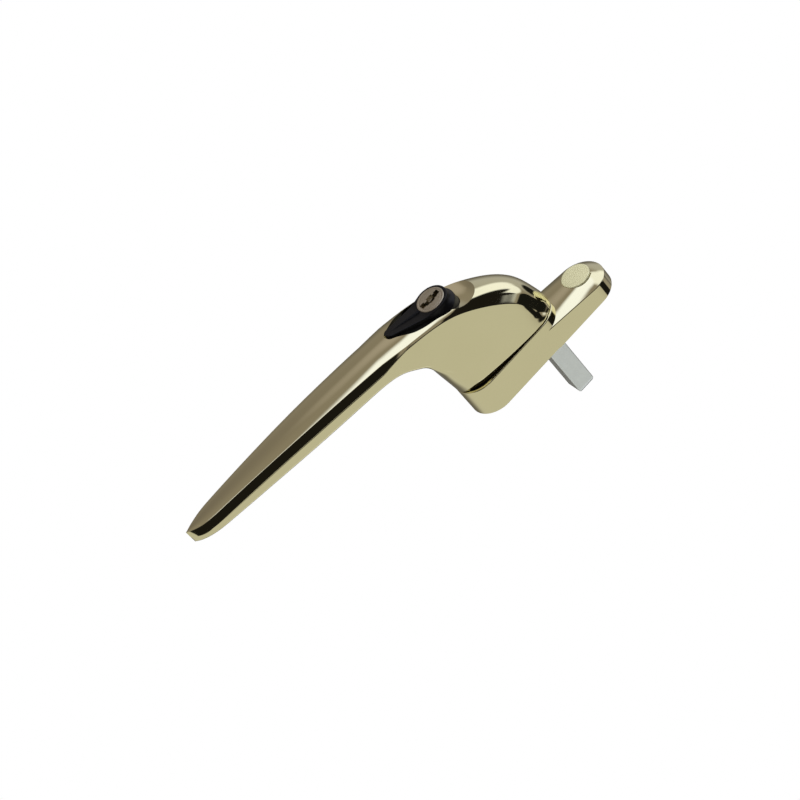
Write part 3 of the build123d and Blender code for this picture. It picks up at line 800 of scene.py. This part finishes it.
def cast_zinc():
    """Unpolished casting, mottled and slightly rough to the touch."""
    mat, tree, shader = material("cast_zinc", (0.5, 0.51, 0.52), 1.0, 0.5)
    vary(tree, shader, noise(tree, 400, 5), (0.46, 0.47, 0.48), (0.58, 0.59, 0.60),
         noise(tree, 700, 5), 0.42, 0.62)
    bump(tree, shader, noise(tree, 1500, 6), 0.3, 0.00008)
    return mat


def plain_brass():
    mat, tree, shader = material("plain_brass", (0.72, 0.56, 0.26), 1.0, 0.3)
    vary(tree, shader, noise(tree, 500, 3), (0.75, 0.58, 0.27), (0.66, 0.50, 0.22),
         noise(tree, 1000, 3), 0.24, 0.38)
    return mat


MATERIALS = {make.__name__: make() for make in (
    polished_gold, cap_gold, black_plastic, nickel_brass, zinc_plate, spring_steel, nylon, cast_zinc,
    plain_brass)}


def dress(obj, slot):
    obj.data.materials.clear()
    obj.data.materials.append(MATERIALS[slot])


# ---------------------------------------------------------------- the pieces in their places
def put(piece, name, node, body, slot):
    """Finishes a piece that stands for one of the frame's nodes."""
    piece.name = piece.data.name = name
    finish_shading(piece)
    piece.data.transform(Matrix.Scale(MM, 4))
    dress(piece, slot)
    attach(piece, body)
    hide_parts(node)


SPINDLE_END_R = 2.0             # rounding of its far end
SPINDLE_EDGE = 0.35             # rounding of its long edges
PIN_HOLE = (1.25, 8.2)          # radius and height of the hole for its pin


def make_spindle():
    """Square bar with eased edges and a rounded far end."""
    half = SPINDLE_HIGH.x
    middle = half - SPINDLE_EDGE
    far, near = -SPINDLE_HIGH.y, -SPINDLE_LOW.y

    def outline(inset):
        square = []
        for quarter, (side_x, side_drop) in enumerate(((1, 1), (-1, 1), (-1, -1), (1, -1))):
            for a in np.linspace(quarter * pi / 2, (quarter + 1) * pi / 2, 5):
                x = side_x * middle + SPINDLE_EDGE * cos(a)
                drop = side_drop * middle + SPINDLE_EDGE * sin(a)
                square.append((x * (half - inset) / half, drop * (half - inset) / half))
        return square

    rows = []
    for turn in np.linspace(pi / 2, 0, 9):
        inset = SPINDLE_END_R * (1 - cos(turn))
        rows.append([(x, far + SPINDLE_END_R * (1 - sin(turn)), drop) for x, drop in outline(inset)])
    for height in np.linspace(far + SPINDLE_END_R + 1, near, 12):
        rows.append([(x, height, drop) for x, drop in outline(0)])
    bar = new_object("spindle_bar", *bridge(rows))
    hole = rod(PIN_HOLE[0], -HALF, HALF)
    hole.data.transform(Matrix.Translation((0, -PIN_HOLE[1], 0)) @ Matrix.Rotation(pi / 2, 4, "Z"))
    combine(bar, hole)
    return bar


put(make_spindle(), "spindle_bar", "spindle", "lever", "zinc_plate")
put(hollow_lever(make_lever()), "cast_lever", "lever", "lever", "polished_gold")
put(make_base(), "cast_base", "base_plate", "base", "polished_gold")
put(make_cap(), "cover_cap", "screw_cap", "base", "cap_gold")
put(make_button(), "thumb_button", "lock_button", "button", "black_plastic")
put(make_plug(), "key_disc", "key_plug", "plug", "nickel_brass")

for subpart in frame["record"]["subparts"]:
    node = bpy.data.objects.get(subpart["node"])
    if node is not None:
        for slot in node.material_slots:
            slot.material = MATERIALS[subpart["material_slot"]]
        if not node.material_slots:
            dress(node, subpart["material_slot"])


# ---------------------------------------------------------------- studio
def facing(azimuth, elevation, roll):
    """Rotation of a camera, from its angles round the object in degrees."""
    a, e = radians(azimuth), radians(elevation)
    back = Vector((sin(a) * cos(e), -cos(a) * cos(e), sin(e)))
    right = Vector((0, 0, 1)).cross(back).normalized()
    up = back.cross(right)
    turn = Matrix.Rotation(radians(roll), 3, back)
    return back, turn @ right, turn @ up


AIM = Vector((-0.0175, -0.0137, -0.0491))       # the point at the middle of the picture
DISTANCE = 0.9
BACK, RIGHT, UP = facing(49.8, -5.3, 43.0)


def make_camera():
    data = bpy.data.cameras.new("camera")
    data.lens, data.sensor_width = 119.0, 36.0
    data.clip_start, data.clip_end = 0.01, 20.0
    camera = bpy.data.objects.new("camera", data)
    bpy.context.scene.collection.objects.link(camera)
    turn = Matrix((RIGHT, UP, BACK)).transposed().to_4x4()
    camera.matrix_world = Matrix.Translation(AIM + DISTANCE * BACK) @ turn
    bpy.context.scene.camera = camera
    bpy.context.scene.view_settings.view_transform = "Standard"


make_camera()


# The room seen in the metal: soft round cards before a plain sky, later ones over earlier ones.
# Each has its angle from the camera's side and its angle round from the camera's right, the outer
# and inner reach of its soft edge, all in degrees, and its colour.
BLACK = (0.012, 0.011, 0.010)
SKY = (0.295, 0.265, 0.245)
CARDS = (
    (90, -70, 95, 35, (0.62, 0.62, 0.58)),
    (100, 170, 50, 10, (0.17, 0.15, 0.15)),
    (125, 62, 45, 22, (0.50, 0.50, 0.54)),
    (94, 114, 17, 4, (0.45, 0.41, 0.42)),
    (180, 0, 56, 22, (0.15, 0.14, 0.12)),
    (103, -44, 14, 6, (0.98, 0.98, 1.05)),
    (151, -44, 25, 21, (0.006, 0.006, 0.006)),
    (76, 42, 26, 20, (1.10, 1.15, 1.35)),
    (84, 62, 25, 15, (1.15, 1.20, 1.40)),
    (72, 84, 24, 14, (1.10, 1.15, 1.35)),
    (60, 107, 19, 10, (1.20, 1.28, 1.65)),
    (52, 125, 14, 7, (1.20, 1.28, 1.65)),
    (121, 30, 15, 10, (0.01, 0.01, 0.01)),
    (108, -6, 12, 9, (0.01, 0.01, 0.01)),
    (95, 4, 16, 13.5, (0.01, 0.01, 0.01)),
    (58, -33, 13, 9, (0.01, 0.01, 0.01)),
    (60, 4, 25, 21, BLACK),
    (50, -98, 20, 15, BLACK),
)
# Upright black flag beside the lever: middle and half width of its band along Y, its soft edge, and
# how far round towards +X it begins.
FLAG = (-0.32, 0.26, 0.05, 0.30)
FLAG_START = 0.1                # softness of its beginning


def studio_world():
    """The room of cards in every reflection, and plain white behind the object."""
    world = bpy.data.worlds.new("studio")
    world.use_nodes = True
    tree = world.node_tree
    tree.nodes.clear()
    out = add(tree, "ShaderNodeOutputWorld")
    place = add(tree, "ShaderNodeTexCoord")

    def along(axis):
        node = add(tree, "ShaderNodeVectorMath", operation="DOT_PRODUCT")
        node.inputs[1].default_value = axis
        tree.links.new(place.outputs["Generated"], node.inputs[0])
        return node.outputs["Value"]

    def mask(axis, outer, inner):
        """1 within the inner angle of a direction and 0 outside the outer one, in degrees."""
        node = add(tree, "ShaderNodeMapRange", interpolation_type="SMOOTHSTEP")
        node.inputs["From Min"].default_value = cos(radians(outer))
        node.inputs["From Max"].default_value = cos(radians(inner))
        tree.links.new(along(axis), node.inputs["Value"])
        return node.outputs["Result"]

    def layer(under, factor, colour):
        node = add(tree, "ShaderNodeMix", data_type="RGBA")
        tree.links.new(factor, node.inputs[0])
        if isinstance(under, tuple):
            node.inputs[6].default_value = (*under, 1)
        else:
            tree.links.new(under, node.inputs[6])
        node.inputs[7].default_value = (*colour, 1)
        return node.outputs[2]

    sky = SKY
    for away, turn, outer, inner, colour in CARDS:
        away, turn = radians(away), radians(turn)
        axis = BACK * cos(away) + (RIGHT * cos(turn) + UP * sin(turn)) * sin(away)
        sky = layer(sky, mask(axis, outer, inner), colour)
    middle, half, soft, begin = FLAG
    aside = add(tree, "ShaderNodeMath", operation="SUBTRACT")
    aside.inputs[1].default_value = middle
    tree.links.new(along((0, 1, 0)), aside.inputs[0])
    off = add(tree, "ShaderNodeMath", operation="ABSOLUTE")
    tree.links.new(aside.outputs["Value"], off.inputs[0])
    within = remap(tree, off.outputs["Value"], half, half + soft, 1, 0)
    facing_x = remap(tree, along((1, 0, 0)), begin - FLAG_START, begin, 0, 1)
    both = add(tree, "ShaderNodeMath", operation="MULTIPLY")
    tree.links.new(within, both.inputs[0])
    tree.links.new(facing_x, both.inputs[1])
    sky = layer(sky, both.outputs["Value"], BLACK)
    light = add(tree, "ShaderNodeBackground")
    tree.links.new(sky, light.inputs["Color"])
    white = add(tree, "ShaderNodeBackground")
    white.inputs["Color"].default_value = (1, 1, 1, 1)
    path = add(tree, "ShaderNodeLightPath")
    blend = add(tree, "ShaderNodeMixShader")
    tree.links.new(path.outputs["Is Camera Ray"], blend.inputs["Fac"])
    tree.links.new(light.outputs["Background"], blend.inputs[1])
    tree.links.new(white.outputs["Background"], blend.inputs[2])
    tree.links.new(blend.outputs["Shader"], out.inputs["Surface"])
    bpy.context.scene.world = world


studio_world()


LAMP_PLACE = Vector((0.2, -1.0, 0.55))
LAMP_SIZE, LAMP_WATTS = 0.8, 3.6


def make_fill():
    """Large soft lamp in front of the wall, left out of the reflections."""
    data = bpy.data.lights.new("fill", "AREA")
    data.size, data.energy = LAMP_SIZE, LAMP_WATTS
    fill = bpy.data.objects.new("fill", data)
    bpy.context.scene.collection.objects.link(fill)
    turn = LAMP_PLACE.to_track_quat("Z", "Y").to_matrix().to_4x4()
    fill.matrix_world = Matrix.Translation(LAMP_PLACE) @ turn
    fill.visible_glossy = False


make_fill()


FLOOR_HALF, FLOOR_Z = 3.0, -0.36


def make_floor():
    """Plain white floor well below the handle."""
    corners = [(x * FLOOR_HALF, y * FLOOR_HALF, FLOOR_Z) for x, y in ((-1, -1), (1, -1), (1, 1), (-1, 1))]
    mesh = bpy.data.meshes.new("floor")
    mesh.from_pydata(corners, [], [(0, 1, 2, 3)])
    floor = bpy.data.objects.new("floor", mesh)
    bpy.context.scene.collection.objects.link(floor)
    mat, tree, shader = material("floor", (0.92, 0.92, 0.91), 0.0, 0.8)
    glow = add(tree, "ShaderNodeEmission")
    path = add(tree, "ShaderNodeLightPath")
    blend = add(tree, "ShaderNodeMixShader")
    tree.links.new(path.outputs["Is Camera Ray"], blend.inputs["Fac"])
    tree.links.new(shader.outputs["BSDF"], blend.inputs[1])
    tree.links.new(glow.outputs["Emission"], blend.inputs[2])
    tree.links.new(blend.outputs["Shader"], tree.nodes["Material Output"].inputs["Surface"])
    mesh.materials.append(mat)
    floor.visible_glossy = False        # the metal reflects the room alone


make_floor()
